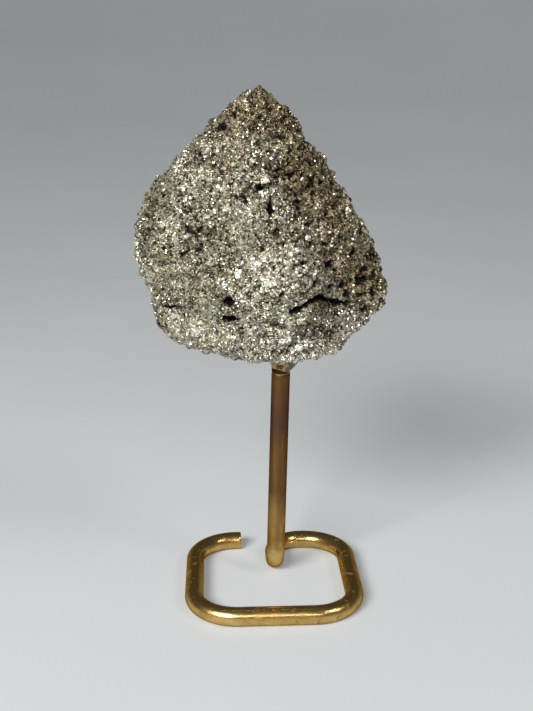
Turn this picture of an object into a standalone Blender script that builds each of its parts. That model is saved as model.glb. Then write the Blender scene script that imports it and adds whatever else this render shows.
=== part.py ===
"""Granular pyrite standing on a post that is bent, with its base loop, from one brass rod."""

import math

import bmesh
import bpy
import numpy as np
from mathutils import Euler, Matrix, Vector

# ---------------------------------------------------------------- driving sizes, metres
MM = 0.001
FIT_GAP = 0.3 * MM

ROD_DIAMETER = 6.0 * MM
ROD_SIDES = 16
ROD_RADIUS = ROD_DIAMETER / 2
ROD_FLAT_DEPTH = 0.24 * MM
LOOP_SIZE = 52.0 * MM
LOOP_CORNER = 14.0 * MM
LOOP_FREE_END_X = -10.0 * MM
LINK_X = 1.2 * MM
LINK_CORNER = 9.5 * MM
POST_Y = 5.5 * MM
POST_CORNER = 8.0 * MM
POST_LEAN = math.radians(1.35)
POST_TOP_Z = 87.0 * MM
ARC_STEPS = 8

RING_Z = 72.6 * MM
RING_WIDTH = 0.7 * MM
RING_DEPTH = 0.2 * MM

STONE_CENTRE = Vector((-3.0, 5.0, 118.0)) * MM
STONE_LEAN = math.radians(9.5)
STONE_SHARPNESS = 30
STONE_SUBDIVISIONS = 5

# The stone seen from the front: corners of its outline from the centre line and the floor.
STONE_OUTLINE = (
    (-4.0, 161.5), (2.6, 157.0), (16.0, 139.0), (31.0, 119.0), (37.5, 104.0), (40.0, 97.5),
    (37.5, 91.5), (26.0, 83.5), (11.0, 78.0), (-10.0, 78.5), (-30.5, 84.0), (-38.0, 91.5),
    (-42.2, 115.0), (-39.6, 127.5), (-20.0, 150.0),
)
# How far the flank under each outline side faces back, in degrees.
FLANK_TIPS = (0, 8, 12, 6, -8, 4, 10, -6, 4, -8, 6, -8, 8, -6, 6)
# Broad faces: turn to the right and lift in degrees, then the distance from the centre in mm.
FRONT_FACES = (
    (-17, 8, 21.5), (38, 20, 21.0), (40, -10, 24.0), (8, -4, 22.8),
    (4, -33, 30.5), (-30, -22, 30.0), (-44, 20, 31.0), (2, 40, 36.0),
)
BACK_FACES = (
    (172, 8, 22.0), (-150, 2, 25.0), (140, -8, 29.0), (-140, -28, 34.0),
    (170, -34, 34.0), (178, 36, 34.0), (145, 24, 31.0),
)
# Swellings and hollows: turn, lift and spread in degrees, then the height in mm.
LUMPS = (
    (90, -27, 6, 5.8), (90, -16, 5, -0.8), (-90, -27, 8, -2.6), (-90, 26, 7, 2.0),
    (24, -20, 12, 1.8), (58, -16, 9, -1.6), (-4, 2, 9, 1.2), (-30, -8, 14, -1.6),
    (22, -27, 8, -1.2), (-22, -26, 8, -1.6), (-2, -42, 14, 1.2), (-60, 40, 10, 1.0),
    (60, -35, 12, 1.0), (150, 0, 20, 1.5), (-160, -20, 14, -1.5),
)
# Knobs all over the stone: how many fit along its radius, and their height in mm.
KNOBS = ((4, 1.0), (9, 0.9), (17, 0.6))
KNOB_SEED = 7
# How far the edges between faces wander, as a share of the radius, and how often.
WANDER = 0.05
WANDER_CELLS = 4
WANDER_SHIFTS = (7.0, 13.0, 19.0)

SOCKET_RADIUS = 4.3 * MM
SOCKET_TOP_Z = 88.0 * MM
BOND_START_Z = 74.2 * MM
BOND_BEAD_TOP_Z = 77.4 * MM
BOND_BEAD_RADIUS = 5.6 * MM
BOND_TOP_Z = 87.0 * MM
BEAD_STEPS = 5

COLLECTION_NAME = "pyrite_on_a_stand"


# ---------------------------------------------------------------- scene and materials
def clear_scene():
    for item in list(bpy.data.objects):
        bpy.data.objects.remove(item, do_unlink=True)


def new_collection(name):
    collection = bpy.data.collections.new(name)
    bpy.context.scene.collection.children.link(collection)
    return collection


def material(name, colour, roughness, metallic):
    made = bpy.data.materials.new(name)
    made.use_nodes = True
    shader = made.node_tree.nodes["Principled BSDF"]
    shader.inputs["Base Color"].default_value = (*colour, 1.0)
    shader.inputs["Roughness"].default_value = roughness
    shader.inputs["Metallic"].default_value = metallic
    return made


def pyrite():
    return material("pyrite", (0.31, 0.28, 0.20), 0.42, 0.75)


def brass():
    return material("brass", (0.55, 0.38, 0.17), 0.28, 1.0)


def epoxy():
    return material("epoxy", (0.34, 0.32, 0.27), 0.55, 0.0)


def add_object(name, mesh, collection, finish=None):
    made = bpy.data.objects.new(name, mesh)
    collection.objects.link(made)
    if finish is not None:
        mesh.materials.clear()
        mesh.materials.append(finish)
    return made


def cut(target, cutter):
    """Subtract a hidden cutter from an object."""
    cutter.hide_render = True
    cutter.display_type = "WIRE"
    boolean = target.modifiers.new(cutter.name, "BOOLEAN")
    boolean.operation = "DIFFERENCE"
    boolean.object = cutter


# ---------------------------------------------------------------- the stone
def direction(turn, lift):
    """Unit vector turned right of the front (-Y) and lifted, both in degrees."""
    turn = math.radians(turn)
    lift = math.radians(lift)
    level = math.cos(lift)
    return np.array((math.sin(turn) * level, -math.cos(turn) * level, math.sin(lift)))


def flank_planes():
    """One plane through each side of the outline: its normal and its distance in mm."""
    centre = np.array((STONE_CENTRE.x, STONE_CENTRE.z)) / MM
    corners = (np.array(STONE_OUTLINE) - centre) * (1.0, math.cos(STONE_LEAN))
    for corner, following, tip in zip(corners, np.roll(corners, -1, axis=0), FLANK_TIPS):
        along = (following - corner) / np.linalg.norm(following - corner)
        outward = np.array((-along[1], along[0]))
        tip = math.radians(tip)
        normal = (outward[0] * math.cos(tip), math.sin(tip), outward[1] * math.cos(tip))
        yield np.array(normal), float(outward @ corner)


def stone_planes():
    planes = list(flank_planes())
    planes += [(direction(turn, lift), far) for turn, lift, far in FRONT_FACES + BACK_FACES]
    return np.array([normal for normal, _ in planes]), np.array([far for _, far in planes])


def lattice_noise(points):
    """Smooth random values from -1 to 1, eased between the corners of a unit lattice."""
    values = np.random.default_rng(KNOB_SEED).uniform(-1.0, 1.0, (32, 32, 32))
    cell = np.floor(points).astype(int)
    ease = (points - cell) ** 2 * (3.0 - 2.0 * (points - cell))
    total = np.zeros(len(points))
    for corner in np.ndindex(2, 2, 2):
        weight = np.abs(1.0 - np.array(corner) - ease).prod(axis=1)
        total += weight * values[tuple((cell + corner).T % 32)]
    return total


def wandering(ways):
    """The unit vectors, each turned aside a little, so that the edges between faces wander."""
    aside = [lattice_noise(ways * WANDER_CELLS + shift) for shift in WANDER_SHIFTS]
    bent = ways + WANDER * np.stack(aside, axis=1)
    return bent / np.linalg.norm(bent, axis=1)[:, None]


def stone_radius(ways):
    """Distance from the centre to the surface, in mm, along each unit vector.

    Each plane alone would be met at far / (way . normal). Their soft minimum rounds the
    edges between the faces, and the lumps and the small knobs are added to it.
    """
    normals, far = stone_planes()
    reach = np.maximum(wandering(ways) @ normals.T / far, 0.0)
    radius = (reach ** STONE_SHARPNESS).sum(axis=1) ** (-1.0 / STONE_SHARPNESS) * 1.01
    for turn, lift, spread, height in LUMPS:
        apart = 2.0 - 2.0 * ways @ direction(turn, lift)
        radius += height * np.exp(-apart / (2.0 * math.radians(spread) ** 2))
    for cells, height in KNOBS:
        radius += height * lattice_noise(ways * cells)
    return radius


def build_stone(collection, cutters):
    mesh = bpy.data.meshes.new("pyrite_stone")
    body = bmesh.new()
    bmesh.ops.create_icosphere(body, subdivisions=STONE_SUBDIVISIONS, radius=1.0)
    ways = np.array([vert.co for vert in body.verts])
    ways /= np.linalg.norm(ways, axis=1)[:, None]
    surface = ways * (stone_radius(ways) * MM)[:, None]
    for vert, place in zip(body.verts, surface):
        vert.co = place
    body.to_mesh(mesh)
    body.free()
    stone = add_object("pyrite_stone", mesh, collection, pyrite())
    stone.location = STONE_CENTRE
    stone.rotation_euler = (-STONE_LEAN, 0, 0)
    cut(stone, socket_cutter(cutters))
    return stone


def socket_cutter(cutters):
    """The blind hole drilled up into the stone along the post."""
    mesh = bpy.data.meshes.new("socket_cutter")
    body = bmesh.new()
    bmesh.ops.create_cone(body, cap_ends=True, segments=24, radius1=SOCKET_RADIUS,
                          radius2=SOCKET_RADIUS, depth=SOCKET_TOP_Z - BOND_START_Z)
    body.to_mesh(mesh)
    body.free()
    drill = add_object("socket_cutter", mesh, cutters)
    drill.location = post_point((SOCKET_TOP_Z + BOND_START_Z) / 2)
    drill.rotation_euler = (0, POST_LEAN, 0)
    return drill


# ---------------------------------------------------------------- the bent rod
def post_point(height):
    """Centre of the leaning post at a height."""
    return Vector((LINK_X + (height - ROD_RADIUS) * math.tan(POST_LEAN), POST_Y, height))


def round_corners(corners, radii):
    """Replace each inner corner of an open path with an arc of its own radius."""
    path = [corners[0]]
    for before, corner, after, radius in zip(corners, corners[1:], corners[2:], radii):
        back = (before - corner).normalized()
        ahead = (after - corner).normalized()
        half = back.angle(ahead) / 2
        centre = corner + (back + ahead).normalized() * radius / math.sin(half)
        start = corner + back * radius / math.tan(half) - centre
        sweep = math.pi - 2 * half
        axis = ahead.cross(back)
        for step in range(ARC_STEPS + 1):
            turned = Matrix.Rotation(sweep * step / ARC_STEPS, 3, axis) @ start
            path.append(centre + turned)
    path.append(corners[-1])
    return path


def rod_path():
    """Free end, round the base loop, in along the link and up the post."""
    side = LOOP_SIZE / 2
    level = ROD_RADIUS - ROD_FLAT_DEPTH
    corners = [
        Vector((LOOP_FREE_END_X, side, level)),
        Vector((-side, side, level)),
        Vector((-side, -side, level)),
        Vector((side, -side, level)),
        Vector((side, side, level)),
        Vector((LINK_X, side, level)),
        post_point(level),
        post_point(POST_TOP_Z),
    ]
    return round_corners(corners, [LOOP_CORNER] * 4 + [LINK_CORNER, POST_CORNER])


def ringed_path():
    """The path with each point's thickness: full but for the line scribed round the post."""
    path = [(point, 1.0) for point in rod_path()]
    scribed = 1.0 - RING_DEPTH / ROD_RADIUS
    low = RING_Z - RING_WIDTH / 2
    high = RING_Z + RING_WIDTH / 2
    bevel = RING_DEPTH / 2
    ring = [(low - bevel, 1.0), (low + bevel, scribed), (high - bevel, scribed), (high + bevel, 1.0)]
    return path[:-1] + [(post_point(height), thickness) for height, thickness in ring] + path[-1:]


def file_flat(body):
    """Press what lies below the floor up to it, which leaves the flat the loop stands on."""
    for vert in body.verts:
        vert.co.z = max(vert.co.z, 0.0)


def curve_to_mesh(curve_object, collection):
    """Give the evaluated curve's closed skin to a mesh object and remove the curve."""
    graph = bpy.context.evaluated_depsgraph_get()
    mesh = bpy.data.meshes.new_from_object(curve_object.evaluated_get(graph))
    body = bmesh.new()
    body.from_mesh(mesh)
    bmesh.ops.remove_doubles(body, verts=body.verts, dist=0.01 * MM)
    bmesh.ops.recalc_face_normals(body, faces=body.faces)
    file_flat(body)
    body.to_mesh(mesh)
    body.free()
    name = curve_object.name
    place = curve_object.matrix_world.copy()
    bpy.data.objects.remove(curve_object, do_unlink=True)
    made = add_object(name, mesh, collection, brass())
    made.matrix_world = place
    mesh.shade_smooth()
    return made


def build_rod(collection):
    curve = bpy.data.curves.new("bent_brass_rod", "CURVE")
    curve.dimensions = "3D"
    curve.bevel_depth = ROD_RADIUS
    curve.bevel_resolution = ROD_SIDES // 2 - 2
    curve.use_fill_caps = True
    path = ringed_path()
    spline = curve.splines.new("POLY")
    spline.points.add(len(path) - 1)
    for slot, (point, thickness) in zip(spline.points, path):
        slot.co = (*point, 1.0)
        slot.radius = thickness
    line = bpy.data.objects.new("bent_brass_rod", curve)
    collection.objects.link(line)
    bpy.context.view_layer.update()
    return curve_to_mesh(line, collection)


# ---------------------------------------------------------------- the epoxy bond
def turned(name, profile, collection, place, finish=None, segments=24):
    """Spin a closed outline of (radius, height) points about the post's axis."""
    mesh = bpy.data.meshes.new(name)
    verts = [(radius, 0, height) for radius, height in profile[:-1]]
    edges = [(i, (i + 1) % len(verts)) for i in range(len(verts))]
    mesh.from_pydata(verts, edges, [])
    made = add_object(name, mesh, collection, finish)
    screw = made.modifiers.new("turn", "SCREW")
    screw.steps = segments
    screw.render_steps = segments
    screw.use_merge_vertices = True
    screw.merge_threshold = 0.01 * MM
    made.location = place
    made.rotation_euler = (0, POST_LEAN, 0)
    return made


def build_bond(collection):
    """Epoxy that fills the hole round the post and stands out below it as a bead."""
    inner = ROD_RADIUS + FIT_GAP
    filled = SOCKET_RADIUS - FIT_GAP
    top = BOND_TOP_Z - BOND_START_Z
    bead = BOND_BEAD_TOP_Z - BOND_START_Z
    flare = BOND_BEAD_RADIUS - inner
    rise = [math.pi / 2 * step / BEAD_STEPS for step in range(BEAD_STEPS + 1)]
    skirt = [(inner + flare * math.cos(a), bead * (1 - math.sin(a))) for a in rise]
    profile = [(inner, top), (filled, top), (filled, bead)] + skirt + [(inner, top)]
    return turned("epoxy_bond", profile, collection, post_point(BOND_START_Z), epoxy())


# ---------------------------------------------------------------- assembly
def world_points(part, graph):
    """Every point of a part's finished mesh, where it stands."""
    shape = part.evaluated_get(graph)
    return [shape.matrix_world @ vert.co for vert in shape.data.vertices]


def set_down(parts):
    """Move everything so that the middle of the parts' box, on the floor, is the origin."""
    bpy.context.view_layer.update()
    graph = bpy.context.evaluated_depsgraph_get()
    points = np.array([point for part in parts for point in world_points(part, graph)])
    low = points.min(axis=0)
    middle = (low + points.max(axis=0)) / 2
    shift = Vector((-middle[0], -middle[1], -low[2]))
    for item in list(bpy.context.scene.objects):
        item.location = item.location + shift


def main():
    clear_scene()
    collection = new_collection(COLLECTION_NAME)
    cutters = new_collection("cutters")
    stone = build_stone(collection, cutters)
    rod = build_rod(collection)
    bond = build_bond(collection)
    set_down([stone, rod, bond])


main()
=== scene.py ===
"""The looks of a granular pyrite specimen on a stand bent from one brass rod."""

import bpy
import numpy as np
from bpy.props import FloatProperty, FloatVectorProperty, IntProperty, PointerProperty
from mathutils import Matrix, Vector


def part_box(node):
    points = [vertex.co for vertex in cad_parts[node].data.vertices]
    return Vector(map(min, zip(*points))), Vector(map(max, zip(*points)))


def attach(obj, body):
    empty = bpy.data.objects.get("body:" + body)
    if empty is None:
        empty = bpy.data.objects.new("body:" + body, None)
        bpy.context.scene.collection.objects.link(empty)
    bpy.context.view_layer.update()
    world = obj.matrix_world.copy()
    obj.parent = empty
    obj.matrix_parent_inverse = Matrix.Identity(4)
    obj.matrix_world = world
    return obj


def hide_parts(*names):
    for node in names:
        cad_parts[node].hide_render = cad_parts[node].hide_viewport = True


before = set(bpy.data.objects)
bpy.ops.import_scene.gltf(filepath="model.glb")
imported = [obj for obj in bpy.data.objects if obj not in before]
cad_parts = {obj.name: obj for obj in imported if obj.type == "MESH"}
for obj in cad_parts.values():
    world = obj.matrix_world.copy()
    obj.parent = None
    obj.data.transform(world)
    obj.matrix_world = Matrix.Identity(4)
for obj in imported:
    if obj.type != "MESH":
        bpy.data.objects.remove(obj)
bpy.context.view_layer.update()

bl_info = {
    "name": "Pyrite on a stand",
    "version": (1, 0, 0),
    "blender": (4, 5, 0),
    "location": "3D View > Sidebar > Pyrite",
    "description": "Builds a granular pyrite specimen, its bent brass stand and a small studio",
    "category": "Add Mesh",
}

MM = 0.001
BODY = "root"
ROD_LOW, ROD_HIGH = (np.array(corner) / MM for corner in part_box("bent_brass_rod"))
BOND_LOW = np.array(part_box("epoxy_bond")[0]) / MM

# Everything below is in millimetres from the middle of the base loop, on the floor.
BASE_CENTRE = np.array(((ROD_LOW[0] + ROD_HIGH[0]) / 2, (ROD_LOW[1] + ROD_HIGH[1]) / 2, 0.0))
# The post's centre line: x and y at its foot, the foot's height, and its lean to the right.
POST_FOOT = (1.2, 5.5)
POST_FOOT_LEVEL = 3.0
POST_LEAN = np.radians(1.35)
# The loop's cut end, in x, and the radii of the bends into the link and up into the post.
LOOP_END = -10.0
LINK_BEND = 9.5
POST_BEND = 8.0
# The putty: its top, its radius before it swells, and the least radius that the waves leave it.
# Low on the stone, crystals keep further than its reach from the post's axis.
PUTTY_TOP = 80.5
PUTTY_RADIUS = 3.08
PUTTY_LEAST_RADIUS = 3.02
PUTTY_REACH = 6.0

# Steps of the random tables, after which their numbers repeat.
TABLE = 32

# ---------------------------------------------------------------- the stone's outer shape
STONE_CENTRE = np.array((-3.0, 5.0, 118.0))
STONE_LEAN = np.radians(9.5)
# The power of the soft minimum, and a factor that gives back what its rounding takes off.
STONE_SHARPNESS = 30
ROUNDING_ALLOWANCE = 1.01
# The outline seen from the front: x and height of each corner.
STONE_OUTLINE = (
    (-4.0, 161.5), (2.6, 157.0), (16.0, 139.0), (31.0, 119.0), (37.5, 104.0), (40.0, 97.5),
    (37.5, 91.5), (26.0, 83.5), (11.0, 78.0), (-10.0, 78.5), (-30.5, 84.0), (-38.0, 91.5),
    (-42.2, 115.0), (-39.6, 127.5), (-20.0, 150.0),
)
# How far the plane through each side of the outline faces back, in degrees.
FLANK_TIPS = (0, 8, 12, 6, -8, 4, 10, -6, 4, -8, 6, -8, 8, -6, 6)
# Broad faces: turn and lift in degrees, and distance from the centre.
FRONT_FACES = (
    (-17, 8, 21.5), (38, 20, 21.0), (40, -10, 24.0), (8, -4, 22.8),
    (4, -33, 30.5), (-30, -22, 30.0), (-44, 20, 31.0), (2, 40, 36.0),
)
BACK_FACES = (
    (172, 8, 22.0), (-150, 2, 25.0), (140, -8, 29.0), (-140, -28, 34.0),
    (170, -34, 34.0), (178, 36, 34.0), (145, 24, 31.0),
)
# Swellings and, where the height is negative, dips: turn, lift and spread in degrees, height.
LUMPS = (
    (90, -27, 6, 5.8), (90, -16, 5, -0.8), (-90, -27, 8, -2.6), (-90, 26, 7, 2.0),
    (24, -20, 12, 1.8), (58, -16, 9, -1.6), (-4, 2, 9, 1.2), (-30, -8, 14, -1.6),
    (22, -27, 8, -1.2), (-22, -26, 8, -1.6), (-2, -42, 14, 1.2), (-60, 40, 10, 1.0),
    (60, -35, 12, 1.0), (150, 0, 20, 1.5), (-160, -20, 14, -1.5),
)
# Knobs all over: cells across the unit sphere's radius, and height.
KNOBS = ((4, 1.0), (9, 0.9), (17, 0.6))
KNOB_SEED = 7
# How far the edges between faces wander, as a share of the radius, and over which cells.
WANDER = 0.05
WANDER_CELLS = 4
WANDER_SHIFTS = (7.0, 13.0, 19.0)
BODY_STEPS = 127
# Grains: width as a multiple of the setting, seed, spread of levels, tilt, depth of cracks.
KNOB_GRAIN = (3.6, 13, 1.0, 0.35, 0.5)
COARSE_GRAIN = (1.9, 11, 0.8, 0.4, 0.5)
SMALL_GRAIN = (0.8, 12, 0.5, 0.5, 0.3)
GRAIN_CRACK = 0.1

# Open vugs seen from the front: x, height, radius across, radius up, depth, in mm.
VUGS = (
    (-5.3, 134.4, 1.0, 1.1, 3.6), (-1.6, 128.9, 0.7, 1.8, 3.6), (-14.4, 101.8, 1.5, 1.5, 4.2),
    (-13.8, 95.9, 2.3, 0.9, 4.0), (-37.5, 121.6, 0.8, 0.6, 2.2), (-31.5, 98.0, 2.0, 0.5, 1.8),
    (-24.0, 99.8, 0.8, 0.5, 1.2), (-23.0, 124.6, 0.5, 0.9, 2.2), (-20.5, 118.5, 0.8, 0.5, 1.6),
    (-4.0, 154.0, 0.9, 0.6, 1.8), (-0.5, 155.5, 0.6, 0.9, 2.0), (-9.5, 131.2, 1.2, 0.4, 1.4),
    (14.5, 134.6, 1.1, 0.8, 2.8), (18.6, 133.8, 1.1, 0.7, 2.8), (9.5, 133.4, 0.7, 0.6, 2.2),
    (7.8, 128.2, 0.7, 1.3, 2.2), (21.0, 129.1, 0.6, 0.8, 2.0), (12.9, 122.5, 0.7, 0.9, 2.2),
    (19.8, 118.6, 0.7, 0.8, 2.4), (14.7, 117.1, 0.8, 0.7, 2.2), (24.3, 112.9, 0.9, 0.8, 2.6),
    (8.2, 113.1, 1.1, 0.4, 1.6), (16.4, 110.8, 1.1, 0.8, 2.8), (18.6, 108.7, 0.9, 0.7, 2.6),
    (28.9, 107.8, 1.2, 0.7, 2.6), (31.4, 110.0, 0.7, 0.9, 2.0), (26.0, 105.6, 0.7, 1.1, 2.2),
    (17.0, 104.0, 0.7, 0.8, 2.2), (22.4, 100.4, 1.2, 0.9, 2.8), (26.4, 99.6, 0.8, 0.9, 2.4),
    (31.2, 98.4, 0.7, 1.2, 2.2), (1.3, 104.0, 0.7, 0.6, 1.6), (16.8, 89.0, 1.0, 0.6, 1.4),
)
# The crevice under the nose and three cracks: x, height and half width of their bends, in mm.
CREVICES = (
    ((5.0, 98.6, 0.8), (8.0, 99.3, 0.9), (11.0, 100.7, 0.9), (14.2, 101.0, 1.2),
     (16.1, 99.8, 1.0), (18.9, 98.5, 0.9), (23.0, 96.4, 0.8)),
    ((-14.8, 131.3, 0.4), (-12.9, 132.0, 0.5), (-10.8, 131.4, 0.4), (-9.0, 131.8, 0.5),
     (-8.2, 129.0, 0.4)),
    ((-26.6, 123.0, 0.4), (-25.7, 121.5, 0.5), (-23.5, 121.2, 0.4), (-21.7, 122.3, 0.5)),
    ((-27.5, 114.9, 0.6), (-25.7, 116.2, 0.6), (-24.2, 116.6, 0.4), (-22.4, 116.3, 0.5),
     (-21.5, 118.2, 0.4)),
)
VUG_REACH = 1.15
CREVICE_DEPTH = 4.0
# How far behind the stone's centre the placed vugs and crevices still cut.
VUG_BACK = 4.0
# Fine-grained patches: x, height, radius across, radius up, in mm, and strength.
FINE_PATCHES = ((-22.0, 108.0, 12.0, 9.0, 0.6), (-9.0, 124.0, 8.0, 9.0, 0.5))
# Painted light: paler patches on the lit front: x, height and radius, in mm.
PAINTED_LIGHT_PATCHES = (
    (-10.5, 148.0, 4.0), (-4.0, 114.0, 8.0), (1.5, 98.5, 5.0), (-12.5, 126.0, 3.5),
    (-24.0, 90.0, 6.0),
)
# The ridge between the paler side and the browner side, which also carries painted shade: heights,
# and x at each of them, in mm.
RIDGE = (
    (90.0, 96.0, 98.0, 104.8, 110.9, 123.4, 145.8, 162.5),
    (30.0, 26.0, 9.0, 17.0, 12.0, 5.0, 0.0, -5.0),
)

# ---------------------------------------------------------------- fixed colours and the camera
# Painted shade: the near-black colour laid in the vugs, the crevice, the cracks and the pits.
HOLLOW_SHADE_COLOUR = (0.004, 0.003, 0.002)
# Used for the rod's real grime spots and for painted shade on the post above the scribed line.
GRIME_AND_SHADE_COLOUR = (0.03, 0.017, 0.008)
PUTTY_DARK_COLOUR = (0.07, 0.065, 0.045)
PUTTY_BROWN_COLOUR = (0.10, 0.062, 0.032)
ROD_EDGE_TINT = (0.35, 0.25, 0.2)
CAMERA_PLACE = (-16.6, -320.9, 178.1)
CAMERA_TURN = (90.0 - 17.0, 0.0, -2.6)
CAMERA_LENS = 54.08
LIGHT_AIM = (0.0, 0.0, 100.0)
# The table top, in mm: its level part, where it starts to rise, how far out and how high.
FLOOR_LEVEL = 380.0
FLOOR_BEND_START = 400.0
FLOOR_BEND = 1300.0
FLOOR_WALL = 450.0


# ---------------------------------------------------------------- numbers from formulas
def direction(turn, lift):
    """Unit vector turned right of the front (-Y) and lifted, both in degrees."""
    turn = np.radians(turn)
    lift = np.radians(lift)
    return np.array((np.sin(turn) * np.cos(lift), -np.cos(turn) * np.cos(lift), np.sin(lift)))


def stone_planes():
    """A plane through each outline side, and the broad faces: normals and distances."""
    centre = STONE_CENTRE[[0, 2]]
    corners = (np.array(STONE_OUTLINE) - centre) * (1.0, np.cos(STONE_LEAN))
    normals = []
    far = []
    for corner, following, tip in zip(corners, np.roll(corners, -1, axis=0), FLANK_TIPS):
        along = (following - corner) / np.linalg.norm(following - corner)
        tip = np.radians(tip)
        outward = np.array((-along[1], along[0]))
        normals.append((outward[0] * np.cos(tip), np.sin(tip), outward[1] * np.cos(tip)))
        far.append(outward @ corner)
    for turn, lift, distance in FRONT_FACES + BACK_FACES:
        normals.append(direction(turn, lift))
        far.append(distance)
    return np.array(normals), np.array(far)


def lattice_noise(points, seed):
    """Smooth random values from -1 to 1, eased between the corners of a unit lattice."""
    values = np.random.default_rng(seed).uniform(-1.0, 1.0, (TABLE, TABLE, TABLE))
    cell = np.floor(points).astype(int)
    ease = (points - cell) ** 2 * (3.0 - 2.0 * (points - cell))
    total = np.zeros(len(points))
    for corner in np.ndindex(2, 2, 2):
        weight = np.abs(1.0 - np.array(corner) - ease).prod(axis=1)
        total += weight * values[tuple((cell + corner).T % TABLE)]
    return total


def wandering(ways):
    """The unit vectors, each turned aside a little, so that the edges between faces wander."""
    aside = [lattice_noise(ways * WANDER_CELLS + shift, KNOB_SEED) for shift in WANDER_SHIFTS]
    bent = ways + WANDER * np.stack(aside, axis=1)
    return bent / np.linalg.norm(bent, axis=1)[:, None]


def stone_radius(ways):
    """Distance from the centre to the surface, in mm, along each unit vector.

    Each plane alone would be met at far / (way . normal). Their soft minimum rounds the
    edges between the faces, and the lumps and the small knobs are added to it.
    """
    normals, far = stone_planes()
    reach = np.maximum(wandering(ways) @ normals.T / far, 0.0)
    radius = (reach ** STONE_SHARPNESS).sum(axis=1) ** (-1.0 / STONE_SHARPNESS)
    radius *= ROUNDING_ALLOWANCE
    for turn, lift, spread, height in LUMPS:
        apart = 2.0 - 2.0 * ways @ direction(turn, lift)
        radius += height * np.exp(-apart / (2.0 * np.radians(spread) ** 2))
    for cells, height in KNOBS:
        radius += height * lattice_noise(ways * cells, KNOB_SEED)
    return radius


def stone_place(local):
    """Lean the stone back about its centre and move it on to the post."""
    cos = np.cos(STONE_LEAN)
    sin = np.sin(STONE_LEAN)
    x, y, z = local.T
    leaned = np.stack([x, y * cos + z * sin, z * cos - y * sin], axis=1)
    return leaned + STONE_CENTRE


def nearest_grain(points, seed):
    """Cells round one random point per unit cube.

    Gives for each point the offset from its own cell's middle, the cell's tilt vector and
    level, and how much nearer that middle is than the next one.
    """
    table = np.random.default_rng(seed).uniform(0.0, 1.0, (TABLE, TABLE, TABLE, 7))
    home = np.floor(points).astype(int)
    first = np.full(len(points), np.inf)
    second = np.full(len(points), np.inf)
    facts = np.zeros((len(points), 7))
    for step in np.ndindex(3, 3, 3):
        cell = home + step - 1
        drawn = table[tuple(cell.T % TABLE)]
        offset = points - cell - drawn[:, :3]
        apart = np.linalg.norm(offset, axis=1)
        nearer = apart < first
        second = np.minimum(np.where(nearer, first, apart), second)
        facts[nearer] = np.hstack([offset, drawn[:, 3:]])[nearer]
        first = np.where(nearer, apart, first)
    return facts[:, :3], facts[:, 3:6] * 2.0 - 1.0, facts[:, 6], second - first


def grain_height(points, grain, kind):
    """Flat-topped grains: each cell is a tilted flat at its own height, with cracks between.

    height = level * (random - 0.5) + tilt * slope . offset - crack * exp(-gap / GRAIN_CRACK)
    Gives the height, each point's own random number, and the middle of its cell.
    """
    width, seed, level, tilt, crack = kind
    size = grain * width
    offset, slope, own, gap = nearest_grain(points / size, seed)
    flat = level * (own - 0.5) + tilt * size * (offset * slope).sum(axis=1)
    return flat - crack * np.exp(-gap / GRAIN_CRACK), own, points - offset * size


def vug_depth(points):
    """How deep the listed vugs, crevice and cracks cut, on the side that faces front.

    A vug is depth * exp(-distance ** 4), with a distance of 1 at VUG_REACH times its radii. A
    crevice is CREVICE_DEPTH * width * exp(-distance ** 3), where width is its half width and
    the distance is counted in it. Noise makes both distances uneven.
    """
    depth = np.zeros(len(points))
    front = points[:, 1] < STONE_CENTRE[1] + VUG_BACK
    wobble = 0.40 * lattice_noise(points * 0.7, 31) + 0.35 * lattice_noise(points * 1.6, 32)
    for x, z, across, up, deep in VUGS:
        apart = np.hypot((points[:, 0] - x) / across, (points[:, 2] - z) / up)
        apart = apart / VUG_REACH + wobble
        depth = np.maximum(depth, deep * np.exp(-np.maximum(apart, 0.0) ** 4))
    for start, end in [pair for bends in CREVICES for pair in zip(bends, bends[1:])]:
        start = np.array(start)
        along = np.array(end) - start
        flat = points[:, [0, 2]] - start[:2]
        share = np.clip(flat @ along[:2] / (along[:2] @ along[:2]), 0.0, 1.0)
        width = start[2] + share * along[2]
        apart = np.linalg.norm(flat - share[:, None] * along[:2], axis=1) / width
        apart = np.maximum(apart + 0.6 * wobble, 0.0)
        depth = np.maximum(depth, CREVICE_DEPTH * width * np.exp(-apart ** 3))
    return depth * front


def cracks(points):
    """Short winding cracks, along where one slow noise is zero and another is high.

    Each is 1.5 * exp(-noise ** 2) mm deep.
    """
    line = lattice_noise(points / 8.0, 61) / 0.055
    where = np.clip(lattice_noise(points / 5.0, 62) * 4.0 - 0.8, 0.0, 1.0)
    return 1.5 * where * np.exp(-line ** 2)


# ---------------------------------------------------------------- meshes
def in_metres(points):
    """Points in mm from the base's middle, as the flat list of metres that a mesh takes."""
    return ((points + BASE_CENTRE) * MM).astype(np.float32).ravel()


def surface(name, points, faces, smooth=False):
    """A mesh object from points in mm from the base's middle and equal-sided faces."""
    mesh = bpy.data.meshes.new(name)
    mesh.vertices.add(len(points))
    mesh.vertices.foreach_set("co", in_metres(points))
    mesh.loops.add(faces.size)
    mesh.loops.foreach_set("vertex_index", faces.astype(np.int32).ravel())
    mesh.polygons.add(len(faces))
    starts = np.arange(0, faces.size, faces.shape[1], dtype=np.int32)
    mesh.polygons.foreach_set("loop_start", starts)
    mesh.update(calc_edges=True)
    if smooth:
        mesh.shade_smooth()
    else:
        mesh.shade_flat()
    made = bpy.data.objects.new(name, mesh)
    bpy.context.scene.collection.objects.link(made)
    return made


def attribute(thing, name, values, domain="POINT"):
    """Store one number for each of the piece's points or faces, for its material to read."""
    layer = thing.data.attributes.new(name, "FLOAT", domain)
    layer.data.foreach_set("value", np.asarray(values, dtype=np.float32))


def read_points(items, name):
    """One vector for each of a mesh's items, as an array."""
    found = np.empty(len(items) * 3, dtype=np.float32)
    items.foreach_get(name, found)
    return found.reshape(-1, 3).astype(float)


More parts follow.
